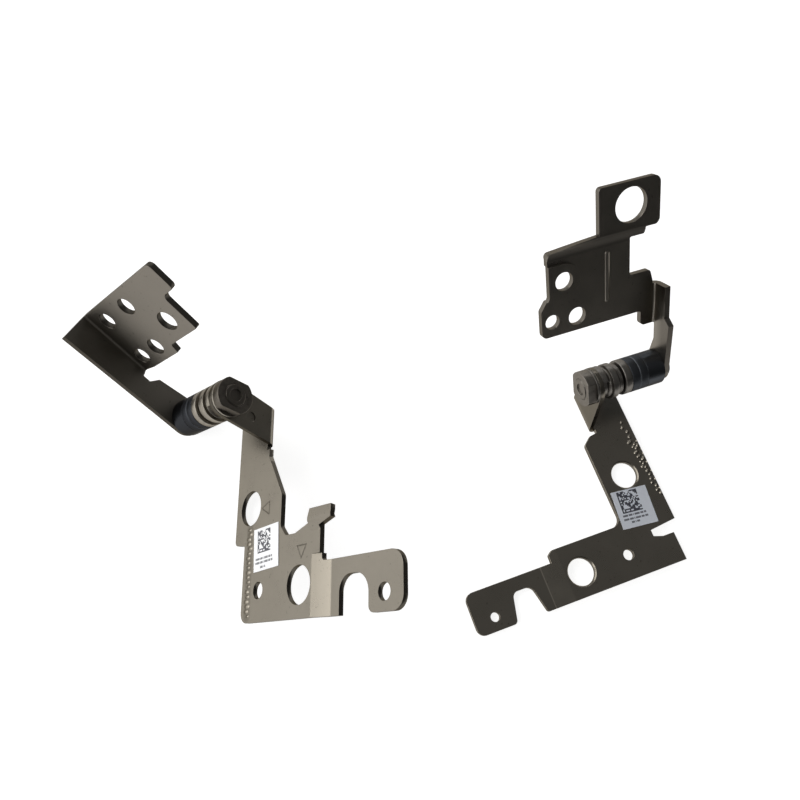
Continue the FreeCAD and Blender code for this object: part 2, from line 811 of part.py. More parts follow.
def main():
    os.makedirs("parts", exist_ok=True)
    right_label = bracket_label(right_label_centre, right_label_turn)
    left_label = bracket_label(left_label_centre, left_label_turn)
    right = hinge_pieces(
        right_base_bracket(), right_lid_bracket(), right_lid_open, right_end_plate_turn, right_label
    )
    left = hinge_pieces(
        left_base_bracket(), left_lid_bracket(), left_lid_open, left_end_plate_turn, left_label
    )
    right = {name: piece.mirror(Vector(0, 0, 0), Vector(1, 0, 0)) for name, piece in right.items()}
    for side, pieces, contacts, spot, turn in [
        ("right", right, right_contacts(), right_spot, right_turn),
        ("left", left, left_contacts(), left_spot, left_turn),
    ]:
        placement = resting_placement(contacts, spot, turn)
        for name, piece in pieces.items():
            placed = piece.copy()
            placed.Placement = placement.multiply(placed.Placement)
            placed.exportStep(f"parts/{side}_{name}.step")


main()
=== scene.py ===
"""Looks of a pair of laptop lid hinges: satin plated brackets, turned rings and blued discs."""
import math

import bpy
from mathutils import Matrix, Vector

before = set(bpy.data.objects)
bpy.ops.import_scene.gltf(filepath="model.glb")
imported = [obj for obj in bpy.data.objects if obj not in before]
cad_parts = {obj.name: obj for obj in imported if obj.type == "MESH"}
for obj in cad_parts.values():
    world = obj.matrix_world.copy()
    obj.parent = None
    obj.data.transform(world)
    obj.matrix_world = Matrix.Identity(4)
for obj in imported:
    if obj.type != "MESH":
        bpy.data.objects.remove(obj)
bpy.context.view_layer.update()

MM = 0.001

# Camera, as the photograph was taken: nearly overhead, from just in front of the pair
CAMERA_PLACE = Vector((-11.627, -38.685, 123.85)) * MM
CAMERA_TURN = (19.7503, -6.4919, 0.0)
CAMERA_LENS = 34.242
CAMERA_SENSOR = 36
CAMERA_NEAR = 1 * MM
CAMERA_FAR = 5

# Table top just under the part: it glows a little, so that shadows stay faint, and less far away
FLOOR_SIZE = 16.0
FLOOR_LEVEL = -0.02 * MM
FLOOR_COLOUR = (0.6, 0.6, 0.6)
FLOOR_ROUGHNESS = 0.95
GLOW_RADIUS = (0.18, 0.55)
GLOW_NEAR = 0.84
GLOW_FAR = 0.1

# Panel lights: where each stands in metres, its width and height, its watts and its colour
WINDOW = ((-0.97, 0.14, 0.55), (2.2, 1.0), 15.5, (1.0, 0.99, 0.97))
BACK_FILL = ((0.1, 1.1, 0.5), (0.9, 0.5), 2.0, (1.0, 1.0, 1.0))

# Room round the table: the way to its lighter side, and the grey of its dark and light sides
ROOM_LIGHT_SIDE = (-0.5, 0.6, 0.62)
ROOM_SPREAD = 0.5
WALL_GREY = 0.05
CEILING_GREY = 0.165

# Each hinge's own axes in mm: its shaft's origin, along the shaft, along the bracket, up from it
RIGHT_BASE_AXES = (
    (-25.254, 0.744, 12.4324),
    (0.593992, 0.005391, 0.804453),
    (0.009076, -0.999959, 0.0),
    (-0.80442, -0.007301, 0.594017),
)
LEFT_BASE_AXES = (
    (33.735, 6.661, 8.9141),
    (-0.94094, -0.338574, 0.0),
    (0.338402, -0.940464, 0.031806),
    (-0.010769, 0.029927, 0.999494),
)
RIGHT_LID_AXES = (
    (-25.254, 0.744, 12.4324),
    (0.593992, 0.005391, 0.804453),
    (-0.701186, 0.493657, 0.514433),
    (0.39435, 0.86964, -0.297008),
)
LEFT_LID_AXES = (
    (33.735, 6.661, 8.9141),
    (-0.94094, -0.338574, 0.0),
    (-0.226649, 0.629888, 0.74288),
    (-0.25152, 0.699006, -0.669424),
)

# Where each bracket's sheet is folded, in mm: along the shaft from and to, and the bend's level
BASE_FOLD = (-1.4, 0.05, -7.5)
RIGHT_LID_FOLD = (-14.0, -11.9, 0.75)
LEFT_LID_FOLD = (-14.0, -11.9, 0.1)

# Which side of the bend's level the ear or the arm stands on
EAR_ABOVE = 1.0
ARM_BELOW = -1.0

# Colours
BASE_COLOUR = (0.255, 0.233, 0.196)
LID_COLOUR = (0.225, 0.206, 0.178)
RIGHT_RING_COLOUR = (0.31, 0.285, 0.245)
LEFT_RING_COLOUR = (0.21, 0.198, 0.182)
RIGHT_END_PLATE_COLOUR = (0.13, 0.118, 0.102)
LEFT_END_PLATE_COLOUR = (0.2, 0.185, 0.165)
# The two sides' blued tones differ as painted light: the left discs face the room's dark side, the
# right ones the window
RIGHT_BLUED_COLOUR = (0.045, 0.048, 0.054)
LEFT_BLUED_COLOUR = (0.07, 0.075, 0.083)
RIGHT_LABEL_COLOUR = (0.97, 0.98, 1.0)
# The left label's paper is darker than the right one's as painted shade: it faces up, away from the
# window
LEFT_LABEL_SHADED_COLOUR = (0.78, 0.82, 0.9)
PRINT_COLOUR = (0.03, 0.03, 0.045)

# Metals reflect this much of the light that grazes them, because they are lightly oiled
GRAZING_TINT = (0.42, 0.40, 0.37)

# Surfaces of the metals: strength of the clouding, grain, specks and bump, and the clouds' scale
PLATED = {"clouding": 0.09, "grain": 0.06, "specks": 0.3, "bump": 0.3, "cloud_scale": 260}
OILED = {"clouding": 0.3, "grain": 0.16, "specks": 0.5, "bump": 0.6, "cloud_scale": 1500}
BLUED = {"clouding": 0.08, "grain": 0.06, "specks": 0.3, "bump": 0.3, "cloud_scale": 260}
TURNED = {"clouding": 0.07, "grain": 0.06, "specks": 0.25, "bump": 0.3, "cloud_scale": 260}

BASE_ROUGHNESS = 0.29
RIGHT_LID_ROUGHNESS = 0.42
LEFT_LID_ROUGHNESS = 0.30
RING_ROUGHNESS = 0.38
END_PLATE_ROUGHNESS = 0.4
SHAFT_ROUGHNESS = 0.34
DISC_ROUGHNESS = 0.5

# Grain and specks of worn metal, how much more the clouding shows in tone than in roughness, how
# deep a speck is next to the grain, and the grain's whole height
GRAIN_SCALE = 5200.0
SPECK_SCALE = 1900.0
SPECK_LEVEL = (0.70, 0.80)
CLOUD_TONE = 2.0
SPECK_DEPTH = 0.5
GRAIN_HEIGHT = 0.01 * MM

# How much lighter the painted highlights are than the plating, how much darker the stamped and
# scribed marks and the painted shade are, and how high stamped marks stand
HIGHLIGHT_GAIN = 3.2
MARK_AND_SHADE_GAIN = 0.38
STAMP_HEIGHT = 0.2 * MM

# How far a face may look away from the sheet's own skin before it gets the painted shade of a
# sheared edge or of the bend
SHEARED_FACING = (0.3, 0.65)
BEND_FACING = (0.72, 0.98)

# Marks on the brackets, on their own axes in mm. Right-hand base: two scribed triangles, a ridge
# with a string of beads down the foot's side and the tongue's crease, both with painted
# highlights, and a strip of painted sheen on the ramp before the crease
UPPER_TRIANGLE = ((-1.68, 15.61), (0.34, 14.75), (0.32, 16.76), (-1.68, 15.61))
LOWER_TRIANGLE = ((7.91, 22.49), (10.08, 22.48), (8.94, 24.32), (7.91, 22.49))
TRIANGLE_LINE = 0.12
RIDGE_BEADS = {
    "start": (-4.75, 18.2),
    "finish": (-4.45, 31.8),
    "pitch": 0.72,
    "radius": 0.5,
    "sway": 0.5,
    "width": 1.7,
}
RIDGE = ((-4.75, 18.5), (-4.45, 31.5), 1.1)
RIGHT_CREASE = ((14.85, 24.5), (14.85, 32.6), 0.1)
SHEEN_ACROSS = (12.0, 14.7)
SHEEN_END = 14.8
SHEEN_TOP = 24.5

# Left-hand base: strings of small beads down the arm and the tongue's crease, both with painted
# highlights, and painted shade over the ear
ARM_BEADS = (
    {"start": (-6.3, 5.4), "finish": (-6.4, 14.6), "pitch": 0.95},
    {"start": (-6.5, 8.5), "finish": (-7.1, 19.9), "pitch": 0.72},
    {"start": (-7.5, 9.4), "finish": (-7.8, 20.0), "pitch": 0.81},
    {"start": (-8.2, 12.6), "finish": (-8.4, 19.6), "pitch": 1.1},
)
ARM_BEAD_RADIUS = 0.5
ARM_BEAD_SWAY = 0.7
LEFT_CREASE = ((17.7, 24.4), (17.7, 31.1), 0.12)
EAR_SHADE_RISE = (-7.9, -6.8)
EAR_SHADE = 0.6

# Left-hand lid: a straight stiffening bead with a painted highlight, and painted shade on the arm
LID_BEAD = ((-3.58, 14.6), (-3.61, 22.3), 0.45)
ARM_SHADE_RISE = (0.0, -1.5)
ARM_SHADE = 0.55

# Smallest and largest bead of a string, as shares of its radius
BEAD_SIZES = (0.55, 1.0)

# Where the blued shoulder ends on the shaft, and where the discs' edges meet, with painted
# highlight lines, in mm
SHOULDER_START = -9.2
DISC_JOINTS = (-7.71, -9.21)
JOINT_FADE = (0.08, 0.18)
JOINT_HIGHLIGHT = 0.45

# Label print as fractions of the label's side: the code block's left, top and side, then each
# line's top, left and right
LABEL_SIDE = 6.5
LABEL_ROUGHNESS = 0.55
RIGHT_LABEL = {
    "axes": RIGHT_BASE_AXES,
    "centre": (-0.01, 21.77),
    "turn": -4.0,
    "across": 1,
    "code": (0.16, 0.066, 0.52),
    "lines": ((0.695, 0.07, 0.75), (0.785, 0.06, 0.77), (0.89, 0.25, 0.48)),
}
LEFT_LABEL = {
    "axes": LEFT_BASE_AXES,
    "centre": (-1.7, 20.37),
    "turn": -5.4,
    "across": -1,
    "code": (0.14, 0.035, 0.57),
    "lines": ((0.645, 0.11, 0.77), (0.745, 0.09, 0.80), (0.835, 0.29, 0.52)),
}
CODE_CELLS = 16
CODE_BLANKS = 0.44
LINE_HEIGHT = 0.05
LINE_DASHES = 48.0
LINE_GAPS = 0.22
LINE_INK = 0.85
WHOLE_INK = 0.95
FIBRE_SCALE = 1500.0
FIBRE_SHADE = 0.92

# Clean-up of the CAD's loose triangles: what is welded, what counts as flat and as an edge
WELD_REACH = 0.0005 * MM
FLAT_ANGLE = math.radians(0.8)
EDGE_ANGLE = math.radians(28)
EDGE_SEGMENTS = 2
FLAT_WEIGHT = 100

# How far each piece's edges are rounded, in mm, as its narrowest faces allow
BRACKET_EDGES = {
    "right_base_bracket": 0.04,
    "left_base_bracket": 0.06,
    "right_lid_bracket": 0.04,
    "left_lid_bracket": 0.03,
}
RING_EDGES = {
    "thrust_washer": 0.05,
    "stop_cam": 0.04,
    "pressure_ring": 0.04,
    "spacer_ring": 0.14,
    "disc_spring_outer": 0.03,
    "disc_spring_middle": 0.03,
    "disc_spring_inner": 0.03,
}
SHAFT_EDGE = 0.05
END_PLATE_EDGE = 0.1
DISC_EDGE = 0.12
LABEL_EDGE = 0.02


def make_camera():
    data = bpy.data.cameras.new("camera")
    data.lens = CAMERA_LENS
    data.sensor_width = CAMERA_SENSOR
    data.clip_start = CAMERA_NEAR
    data.clip_end = CAMERA_FAR
    camera = bpy.data.objects.new("camera", data)
    camera.location = CAMERA_PLACE
    camera.rotation_euler = [math.radians(angle) for angle in CAMERA_TURN]
    bpy.context.scene.collection.objects.link(camera)
    bpy.context.scene.camera = camera


def make_floor():
    """Pale table top, which is stage and not part of the object."""
    bpy.ops.mesh.primitive_plane_add(size=FLOOR_SIZE, location=(0, 0, FLOOR_LEVEL))
    floor = bpy.context.object
    floor.name = "floor"
    material, n, shader = new_material("pale_floor")
    shader.inputs["Base Color"].default_value = (*FLOOR_COLOUR, 1)
    shader.inputs["Roughness"].default_value = FLOOR_ROUGHNESS
    shader.inputs["Specular IOR Level"].default_value = 0.0
    place = n.add("ShaderNodeTexCoord").outputs["Object"]
    radius = n.vector("LENGTH", place).outputs["Value"]
    pool = n.remap(radius, *GLOW_RADIUS, GLOW_NEAR, GLOW_FAR, smooth=True)
    glow = n.add("ShaderNodeCombineColor")
    for channel in glow.inputs[:3]:
        n.link(pool, channel)
    n.link(glow.outputs[0], shader.inputs["Emission Color"])
    shader.inputs["Emission Strength"].default_value = 1.0
    floor.data.materials.append(material)


def panel_light(name, place, size, power, colour):
    """Rectangular light that looks at the part."""
    data = bpy.data.lights.new(name, "AREA")
    data.shape = "RECTANGLE"
    data.size = size[0]
    data.size_y = size[1]
    data.energy = power
    data.color = colour
    light = bpy.data.objects.new(name, data)
    light.location = place
    light.rotation_euler = (-Vector(place)).to_track_quat("-Z", "Y").to_euler()
    bpy.context.scene.collection.objects.link(light)


def make_lights():
    """Two panels, and a grey room that is lighter on one side."""
    panel_light("window", *WINDOW)
    panel_light("back_fill", *BACK_FILL)
    world = bpy.data.worlds.new("studio")
    bpy.context.scene.world = world
    world.use_nodes = True
    n = Nodes(world.node_tree)
    side = n.add("ShaderNodeTexCoord").outputs["Generated"]
    lit = n.vector("DOT_PRODUCT", side, ROOM_LIGHT_SIDE).outputs["Value"]
    grey = n.remap(lit, -ROOM_SPREAD, ROOM_SPREAD, WALL_GREY, CEILING_GREY, smooth=True)
    n.link(grey, world.node_tree.nodes["Background"].inputs["Color"])
    bpy.context.scene.view_settings.view_transform = "Standard"


class Nodes:
    """Small helper that adds and links the nodes of one tree."""

    def __init__(self, tree):
        self.tree = tree

    def add(self, kind, **values):
        node = self.tree.nodes.new(kind)
        for key, value in values.items():
            setattr(node, key, value)
        return node

    def link(self, source, target):
        self.tree.links.new(source, target)

    def put(self, value, socket):
        """Links a socket's value, or sets a plain one."""
        if isinstance(value, bpy.types.NodeSocket):
            self.link(value, socket)
        else:
            socket.default_value = value

    def math(self, operation, first, second=None, clamp=False):
        node = self.add("ShaderNodeMath", operation=operation, use_clamp=clamp)
        self.put(first, node.inputs[0])
        if second is not None:
            self.put(second, node.inputs[1])
        return node.outputs[0]

    def times(self, first, second):
        return self.math("MULTIPLY", first, second)

    def highest(self, first, *others):
        """Highest of several masks."""
        for other in others:
            first = self.math("MAXIMUM", first, other)
        return first

    def vector(self, operation, first, second=None):
        node = self.add("ShaderNodeVectorMath", operation=operation)
        self.put(first, node.inputs[0])
        if second is not None:
            self.put(second, node.inputs[1])
        return node

    def scaled(self, vector, factor):
        node = self.add("ShaderNodeVectorMath", operation="SCALE")
        self.link(vector, node.inputs[0])
        self.link(factor, node.inputs["Scale"])
        return node.outputs[0]

    def split(self, vector):
        """The three parts of a vector."""
        node = self.add("ShaderNodeSeparateXYZ")
        self.link(vector, node.inputs[0])
        return node.outputs

    def noise(self, vector, scale, detail=2.0, rough=0.5):
        node = self.add("ShaderNodeTexNoise")
        self.link(vector, node.inputs["Vector"])
        self.put(scale, node.inputs["Scale"])
        node.inputs["Detail"].default_value = detail
        node.inputs["Roughness"].default_value = rough
        return node.outputs["Fac"]

    def remap(self, value, low, high, out_low=0.0, out_high=1.0, smooth=False):
        node = self.add("ShaderNodeMapRange")
        if smooth:
            node.interpolation_type = "SMOOTHSTEP"
        self.link(value, node.inputs["Value"])
        node.inputs["From Min"].default_value = low
        node.inputs["From Max"].default_value = high
        node.inputs["To Min"].default_value = out_low
        node.inputs["To Max"].default_value = out_high
        return node.outputs["Result"]

    def mix(self, factor, first, second):
        node = self.add("ShaderNodeMix", data_type="RGBA")
        self.put(factor, node.inputs["Factor"])
        self.put(first, node.inputs["A"])
        self.put(second, node.inputs["B"])
        return node.outputs["Result"]

    def within(self, value, low, high):
        """One between the two limits, nought outside them."""
        above = self.math("GREATER_THAN", value, low)
        return self.times(above, self.math("LESS_THAN", value, high))

    def bump(self, height, distance, strength=None, normal=None):
        node = self.add("ShaderNodeBump")
        node.inputs["Distance"].default_value = distance
        if strength is not None:
            node.inputs["Strength"].default_value = strength
        self.link(height, node.inputs["Height"])
        if normal is not None:
            self.link(normal, node.inputs["Normal"])
        return node.outputs["Normal"]

    def group(self, tree, **values):
        node = self.add("ShaderNodeGroup", node_tree=tree)
        for name, value in values.items():
            self.put(value, node.inputs[name])
        return node

    def hinge_place(self, axes):
        """Place on a hinge in mm: along its shaft, along its bracket, and up."""
        origin, along, down, up = [Vector(axis) for axis in axes]
        mirrored = along.cross(down).dot(up) < 0
        first = -along if mirrored else along
        turn = Matrix((first, down, up)).transposed().to_euler()
        mapping = self.add("ShaderNodeMapping", vector_type="TEXTURE")
        self.link(self.add("ShaderNodeTexCoord").outputs["Object"], mapping.inputs["Vector"])
        mapping.inputs["Location"].default_value = origin * MM
        mapping.inputs["Rotation"].default_value = turn
        mapping.inputs["Scale"].default_value = (-MM if mirrored else MM, MM, MM)
        return mapping.outputs["Vector"]


def new_material(name):
    """A new material, the helper for its nodes, and its shader."""
    material = bpy.data.materials.new(name)
    material.use_nodes = True
    return material, Nodes(material.node_tree), material.node_tree.nodes["Principled BSDF"]


def new_group(name, kind, inputs, outputs):
    """A new node group with its sockets: its tree, its helper, and its two end nodes."""
    group = bpy.data.node_groups.new(name, kind)
    for label, socket_kind, value in inputs:
        socket = group.interface.new_socket(label, in_out="INPUT", socket_type=socket_kind)
        if value is not None:
            socket.default_value = value
    for label, socket_kind in outputs:
        group.interface.new_socket(label, in_out="OUTPUT", socket_type=socket_kind)
    n = Nodes(group)
    return group, n, n.add("NodeGroupInput").outputs, n.add("NodeGroupOutput").inputs


def make_metal_group():
    """Tone, roughness and height of worn plated metal: cloudy plating, fine grain, specks."""
    group, n, given, result = new_group(
        "worn_metal",
        "ShaderNodeTree",
        [
            ("Colour", "NodeSocketColor", (0.5, 0.5, 0.5, 1)),
            ("Roughness", "NodeSocketFloat", 0.35),
            ("Clouding", "NodeSocketFloat", 0.12),
            ("Cloud Scale", "NodeSocketFloat", 260.0),
            ("Grain", "NodeSocketFloat", 0.06),
            ("Specks", "NodeSocketFloat", 0.3),
        ],
        [
            ("Colour", "NodeSocketColor"),
            ("Roughness", "NodeSocketFloat"),
            ("Height", "NodeSocketFloat"),
        ],
    )
    place = n.add("ShaderNodeTexCoord").outputs["Object"]
    cloud = n.noise(place, given["Cloud Scale"], 3.0, 0.55)
    grain = n.noise(place, GRAIN_SCALE, 3.0, 0.65)
    speck = n.noise(place, SPECK_SCALE, 1.0, 0.4)
    cloud_swing = n.times(n.math("SUBTRACT", cloud, 0.5), given["Clouding"])
    grain_swing = n.times(n.math("SUBTRACT", grain, 0.5), given["Grain"])
    speck_mask = n.remap(speck, *SPECK_LEVEL)
    tone = n.math("ADD", 1.0, n.times(cloud_swing, CLOUD_TONE))
    tone = n.math("ADD", tone, grain_swing)
    tone = n.math("SUBTRACT", tone, n.times(speck_mask, given["Specks"]))
    n.link(n.scaled(given["Colour"], tone), result["Colour"])
    rough = n.math("ADD", given["Roughness"], cloud_swing)
    n.link(n.math("ADD", rough, grain_swing, clamp=True), result["Roughness"])
    n.link(n.math("SUBTRACT", grain, n.times(speck_mask, SPECK_DEPTH)), result["Height"])
    return group


def make_line_group():
    """Mask of a soft-edged line between two places in the plate's plane, all in mm."""
    group, n, given, result = new_group(
        "scribed_line",
        "ShaderNodeTree",
        [
            ("Place", "NodeSocketVector", None),
            ("Start", "NodeSocketVector", None),
            ("Finish", "NodeSocketVector", None),
            ("Half Width", "NodeSocketFloat", 0.1),
        ],
        [("Mask", "NodeSocketFloat")],
    )
    flat = n.vector("MULTIPLY", given["Place"], (1, 1, 0)).outputs[0]
    reach = n.vector("SUBTRACT", given["Finish"], given["Start"]).outputs[0]
    offset = n.vector("SUBTRACT", flat, given["Start"]).outputs[0]
    travelled = n.vector("DOT_PRODUCT", offset, reach).outputs["Value"]
    whole = n.vector("DOT_PRODUCT", reach, reach).outputs["Value"]
    share = n.math("DIVIDE", travelled, whole, clamp=True)
    distance = n.vector("DISTANCE", offset, n.scaled(reach, share)).outputs["Value"]
    ratio = n.math("DIVIDE", distance, given["Half Width"])
    n.link(n.remap(ratio, 0.5, 1.0, 1.0, 0.0, smooth=True), result["Mask"])
    return group


def make_bead_group():
    """Mask of a row of small stamped beads of uneven size along a line, all in mm."""
    group, n, given, result = new_group(
        "bead_row",
        "ShaderNodeTree",
        [
            ("Place", "NodeSocketVector", None),
            ("Start", "NodeSocketVector", None),
            ("Along", "NodeSocketVector", None),
            ("Across", "NodeSocketVector", None),
            ("Length", "NodeSocketFloat", 10.0),
            ("Pitch", "NodeSocketFloat", 0.8),
            ("Radius", "NodeSocketFloat", 0.3),
            ("Sway", "NodeSocketFloat", 0.3),
            ("Width", "NodeSocketFloat", 1.0),
        ],
        [("Mask", "NodeSocketFloat")],
    )
    offset = n.vector("SUBTRACT", given["Place"], given["Start"]).outputs[0]
    along = n.vector("DOT_PRODUCT", offset, given["Along"]).outputs["Value"]
    across = n.vector("DOT_PRODUCT", offset, given["Across"]).outputs["Value"]
    steps = n.math("DIVIDE", along, given["Pitch"])
    cell = n.math("FLOOR", steps)
    dice = n.add("ShaderNodeTexWhiteNoise", noise_dimensions="1D")
    n.link(cell, dice.inputs["W"])
    parts = n.add("ShaderNodeSeparateColor")
    n.link(dice.outputs["Color"], parts.inputs[0])
    beside = n.math("SUBTRACT", steps, n.math("ADD", cell, 0.5))
    beside = n.times(beside, given["Pitch"])
    sway = n.times(n.math("SUBTRACT", parts.outputs[0], 0.5), given["Sway"])
    aside = n.math("DIVIDE", n.math("SUBTRACT", across, sway), given["Width"])
    squared = n.math("ADD", n.math("POWER", beside, 2.0), n.math("POWER", aside, 2.0))
    distance = n.math("SQRT", squared)
    size = n.times(given["Radius"], n.remap(parts.outputs[1], 0.0, 1.0, *BEAD_SIZES))
    dome = n.remap(n.math("DIVIDE", distance, size), 0.1, 1.0, 1.0, 0.0, smooth=True)
    n.link(n.times(dome, n.within(along, 0.0, given["Length"])), result["Mask"])
    return group


def make_cut_edge_group():
    """Masks for painted shade on a sheet's sheared edges and on its bend, from the way the faces
    look.
    """
    group, n, given, result = new_group(
        "cut_edge",
        "ShaderNodeTree",
        [
            ("Place", "NodeSocketVector", None),
            ("Along", "NodeSocketVector", None),
            ("Up", "NodeSocketVector", None),
            ("Fold Start", "NodeSocketFloat", 0.0),
            ("Fold End", "NodeSocketFloat", 1.0),
            ("Bend Level", "NodeSocketFloat", 0.0),
            ("Ear Side", "NodeSocketFloat", 1.0),
        ],
        [("Mask", "NodeSocketFloat"), ("Bend", "NodeSocketFloat")],
    )
    facing = n.add("ShaderNodeTexCoord").outputs["Normal"]
    along_face = n.vector("DOT_PRODUCT", facing, given["Along"]).outputs["Value"]
    up_face = n.vector("DOT_PRODUCT", facing, given["Up"]).outputs["Value"]
    along, _, up = n.split(given["Place"])
    folded = n.within(along, given["Fold Start"], given["Fold End"])
    past = n.times(n.math("SUBTRACT", up, given["Bend Level"]), given["Ear Side"])
    upright = n.times(folded, n.math("GREATER_THAN", past, 0.0))
    ear_skin = n.times(n.math("ABSOLUTE", along_face), folded)
    plate_skin = n.times(n.math("ABSOLUTE", up_face), n.math("SUBTRACT", 1.0, upright))
    skin = n.highest(ear_skin, plate_skin)
    n.link(n.remap(skin, *SHEARED_FACING, 1.0, 0.0, smooth=True), result["Mask"])
    bend = n.remap(skin, *BEND_FACING, 1.0, 0.0, smooth=True)
    n.link(n.times(bend, folded), result["Bend"])
    return group


def make_smooth_group():
    """Geometry nodes that shade every face smooth, so that the CAD mesh itself is left alone."""
    group, n, given, result = new_group(
        "smooth_faces",
        "GeometryNodeTree",
        [("Geometry", "NodeSocketGeometry", None)],
        [("Geometry", "NodeSocketGeometry")],
    )
    shade = n.add("GeometryNodeSetShadeSmooth")
    n.link(given[0], shade.inputs["Geometry"])
    n.link(shade.outputs["Geometry"], result[0])
    return group


worn_metal = make_metal_group()
scribed_line = make_line_group()
bead_string = make_bead_group()
cut_edge = make_cut_edge_group()
smooth_faces = make_smooth_group()


def line_mark(n, place, start, finish, half_width):
    """Mask of one line on a bracket."""
    line = n.group(scribed_line, Place=place, Start=(*start, 0), Finish=(*finish, 0))
    line.inputs["Half Width"].default_value = half_width
    return line.outputs["Mask"]


def outline_mark(n, place, corners, half_width):
    """Mask of a scribed outline through the corners, which closes on the first."""
    sides = zip(corners, corners[1:])
    return n.highest(*[line_mark(n, place, start, end, half_width) for start, end in sides])


def bead_mark(n, place, start, finish, pitch, radius, sway, width=1.0):
    """Mask of a string of beads between two places on a bracket."""
    start = Vector((*start, 0))
    reach = Vector((*finish, 0)) - start
    along = reach.normalized()
    row = n.group(bead_string, Place=place, Start=start, Along=along, Length=reach.length)
    row.inputs["Across"].default_value = (-along.y, along.x, 0)
    row.inputs["Pitch"].default_value = pitch
    row.inputs["Radius"].default_value = radius
    row.inputs["Sway"].default_value = sway
    row.inputs["Width"].default_value = width
    return row.outputs["Mask"]


def edge_mark(n, axes, place, fold, ear_side, amount=1.0, bend_amount=0.0):
    """Painted shade on the sheared edges, and on the bend, of one bracket."""
    edge = n.group(cut_edge, Place=place, Along=axes[1], Up=axes[3])
    edge.inputs["Fold Start"].default_value = fold[0]
    edge.inputs["Fold End"].default_value = fold[1]
    edge.inputs["Bend Level"].default_value = fold[2]
    edge.inputs["Ear Side"].default_value = ear_side
    mask = n.times(edge.outputs["Mask"], amount)
    if bend_amount:
        mask = n.highest(mask, n.times(edge.outputs["Bend"], bend_amount))
    return mask


# Each marks function gives a light mask of painted highlights, a dark mask of marks and painted
# shade, and a height, or None for what isn't there


def right_base_marks(n):
    """Scribed triangles, the ridge of stamped beads down the foot's side, painted highlights on the
    beads and crease, and a painted sheen on the joggle.
    """
    place = n.hinge_place(RIGHT_BASE_AXES)
    along, down, _ = n.split(place)
    upper = outline_mark(n, place, UPPER_TRIANGLE, TRIANGLE_LINE)
    lower = outline_mark(n, place, LOWER_TRIANGLE, TRIANGLE_LINE)
    scribed = n.highest(upper, lower)
    beads = bead_mark(n, place, **RIDGE_BEADS)
    between = n.times(line_mark(n, place, *RIDGE), n.math("SUBTRACT", 1.0, beads))
    crease = line_mark(n, place, *RIGHT_CREASE)
    ramp_sheen = n.times(n.remap(along, *SHEEN_ACROSS), n.within(along, SHEEN_ACROSS[0], SHEEN_END))
    ramp_sheen = n.times(ramp_sheen, n.math("GREATER_THAN", down, SHEEN_TOP))
    edges = edge_mark(n, RIGHT_BASE_AXES, place, BASE_FOLD, EAR_ABOVE, 1.0, 0.9)
    # Painted highlights on the beads and crease, and a painted sheen on the ramp before the crease
    light = n.highest(n.times(beads, 0.22), n.times(crease, 0.25), n.times(ramp_sheen, 0.07))
    dark = n.highest(n.times(scribed, 0.6), n.times(between, 0.38), edges)
    height = n.math("SUBTRACT", beads, n.times(scribed, 0.4))
    return light, dark, height


def left_base_marks(n):
    """Small beads down the arm and the tongue's crease with painted highlights, and painted shade
    on the ear.
    """
    place = n.hinge_place(LEFT_BASE_AXES)
    rows = []
    for row in ARM_BEADS:
        rows.append(bead_mark(n, place, **row, radius=ARM_BEAD_RADIUS, sway=ARM_BEAD_SWAY))
    beads = n.highest(*rows)
    crease = line_mark(n, place, *LEFT_CREASE)
    # Painted shade over the ear, fading in across the bend
    painted_shade = n.remap(n.split(place)[2], *EAR_SHADE_RISE, 0.0, EAR_SHADE)
    edges = edge_mark(n, LEFT_BASE_AXES, place, BASE_FOLD, EAR_ABOVE, 0.5, 0.5)
    # Painted highlights on the beads and crease
    light = n.highest(n.times(beads, 0.6), n.times(crease, 0.4))
    return light, n.highest(edges, painted_shade), beads


def right_lid_marks(n):
    """Painted shade on the sheared edges alone."""
    place = n.hinge_place(RIGHT_LID_AXES)
    return None, edge_mark(n, RIGHT_LID_AXES, place, RIGHT_LID_FOLD, ARM_BELOW), None


def left_lid_marks(n):
    """A straight stiffening bead down the middle of the plate with a painted highlight, and painted
    shade on the arm.
    """
    place = n.hinge_place(LEFT_LID_AXES)
    along, _, up = n.split(place)
    # A painted highlight along the stiffening bead
    bead = line_mark(n, place, *LID_BEAD)
    edges = edge_mark(n, LEFT_LID_AXES, place, LEFT_LID_FOLD, ARM_BELOW, 0.5)
    on_arm = n.within(along, LEFT_LID_FOLD[0], LEFT_LID_FOLD[1])
    # Painted shade on the arm, full from 1.5 mm below the plate's level
    painted_shade = n.times(n.remap(up, *ARM_SHADE_RISE), on_arm)
    return n.times(bead, 0.18), n.highest(edges, n.times(painted_shade, ARM_SHADE)), bead


def disc_joint_marks(axes):
    """Painted highlight lines where the friction discs' edges meet."""

    def marks(n):
        along = n.split(n.hinge_place(axes))[0]
        lines = []
        for joint in DISC_JOINTS:
            off = n.math("ABSOLUTE", n.math("SUBTRACT", along, joint))
            lines.append(n.remap(off, *JOINT_FADE, JOINT_HIGHLIGHT, 0.0))
        return n.highest(*lines), None, None

    return marks


def new_metal(name, roughness, finish):
    """A metal with a worn surface: its material, helper, shader, surface node and normal."""
    material, n, shader = new_material(name)
    shader.inputs["Metallic"].default_value = 1.0
    shader.inputs["Specular Tint"].default_value = (*GRAZING_TINT, 1)
    surface = n.group(worn_metal, Roughness=roughness, Clouding=finish["clouding"])
    surface.inputs["Cloud Scale"].default_value = finish["cloud_scale"]
    surface.inputs["Grain"].default_value = finish["grain"]
    surface.inputs["Specks"].default_value = finish["specks"]
    n.link(surface.outputs["Roughness"], shader.inputs["Roughness"])
    normal = n.bump(surface.outputs["Height"], GRAIN_HEIGHT, finish["bump"])
    return material, n, shader, surface, normal


